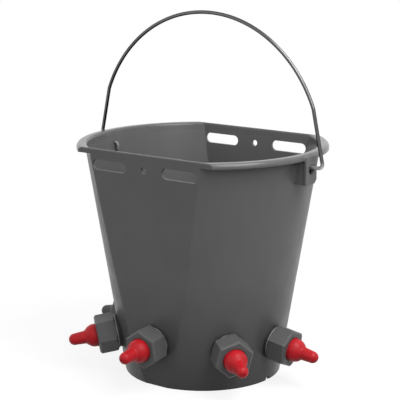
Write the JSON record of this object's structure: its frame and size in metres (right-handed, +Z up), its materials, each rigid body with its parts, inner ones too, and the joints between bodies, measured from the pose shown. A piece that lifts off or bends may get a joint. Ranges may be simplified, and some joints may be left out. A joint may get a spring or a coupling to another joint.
{
  "type": "multi teat lamb feeder",
  "caption": "Tapered grey milk bucket with slotted flats for hanging, a swinging wire bail and a low ring of rubber teats held by hexagonal cap nuts with ball valves.",
  "frame": {"origin": "centre of the foot ring, on the ground", "axes": "+Z up, +X along the bail's pivot line, -Y out of the front flat that carries the middle teat"},
  "size_m": [0.3115, 0.2592, 0.4082],
  "materials": {
    "bucket_plastic": "moulded, satin",
    "nut_plastic": "moulded, matt",
    "teat_rubber": "smooth, satin",
    "grey_rubber": "smooth, satin",
    "valve_plastic": "moulded, matt",
    "seat_plastic": "moulded, satin",
    "ball_steel": "polished",
    "seal_rubber": "matt",
    "washer_plastic": "matt",
    "bail_steel": "bright drawn wire"
  },
  "bodies": {
    "feeder": {"bucket": "bucket_plastic", "cap_nut_1": "nut_plastic", "cap_nut_2": "nut_plastic", "cap_nut_3": "nut_plastic", "cap_nut_4": "nut_plastic", "cap_nut_5": "nut_plastic", "teat_1": "grey_rubber", "teat_2": "teat_rubber", "teat_3": "teat_rubber", "teat_4": "teat_rubber", "teat_5": "teat_rubber", "valve_body_1": "valve_plastic", "valve_body_2": "valve_plastic", "valve_body_3": "valve_plastic", "valve_body_4": "valve_plastic", "valve_body_5": "valve_plastic", "valve_seat_1": "seat_plastic", "valve_seat_2": "seat_plastic", "valve_seat_3": "seat_plastic", "valve_seat_4": "seat_plastic", "valve_seat_5": "seat_plastic", "inner_seal_1": "seal_rubber", "inner_seal_2": "seal_rubber", "inner_seal_3": "seal_rubber", "inner_seal_4": "seal_rubber", "inner_seal_5": "seal_rubber", "outer_seal_1": "seal_rubber", "outer_seal_2": "seal_rubber", "outer_seal_3": "seal_rubber", "outer_seal_4": "seal_rubber", "outer_seal_5": "seal_rubber", "slip_washer_1": "washer_plastic", "slip_washer_2": "washer_plastic", "slip_washer_3": "washer_plastic", "slip_washer_4": "washer_plastic", "slip_washer_5": "washer_plastic"},
    "bail": {"bail": "bail_steel"},
    "ball_1": {"valve_ball_1": "ball_steel"},
    "ball_2": {"valve_ball_2": "ball_steel"},
    "ball_3": {"valve_ball_3": "ball_steel"},
    "ball_4": {"valve_ball_4": "ball_steel"},
    "ball_5": {"valve_ball_5": "ball_steel"}
  },
  "joints": [
    {"name": "bail_swing", "type": "hinge", "parent": "feeder", "child": "bail", "pos_m": [0, 0, 0.2486], "axis": [1, 0, 0], "range_deg": [-135, 135]},
    {"name": "ball_1_slide", "type": "slide", "parent": "feeder", "child": "ball_1", "axis": [-0.9864, 0.0344, -0.161], "range_m": [-0.005, 0]},
    {"name": "ball_2_slide", "type": "slide", "parent": "feeder", "child": "ball_2", "axis": [-0.6979, -0.6979, -0.161], "range_m": [-0.005, 0]},
    {"name": "ball_3_slide", "type": "slide", "parent": "feeder", "child": "ball_3", "axis": [0, -0.9968, -0.08], "range_m": [-0.005, 0]},
    {"name": "ball_4_slide", "type": "slide", "parent": "feeder", "child": "ball_4", "axis": [0.7777, -0.6076, -0.161], "range_m": [-0.005, 0]},
    {"name": "ball_5_slide", "type": "slide", "parent": "feeder", "child": "ball_5", "axis": [0.987, 0, -0.161], "range_m": [-0.005, 0]}
  ]
}
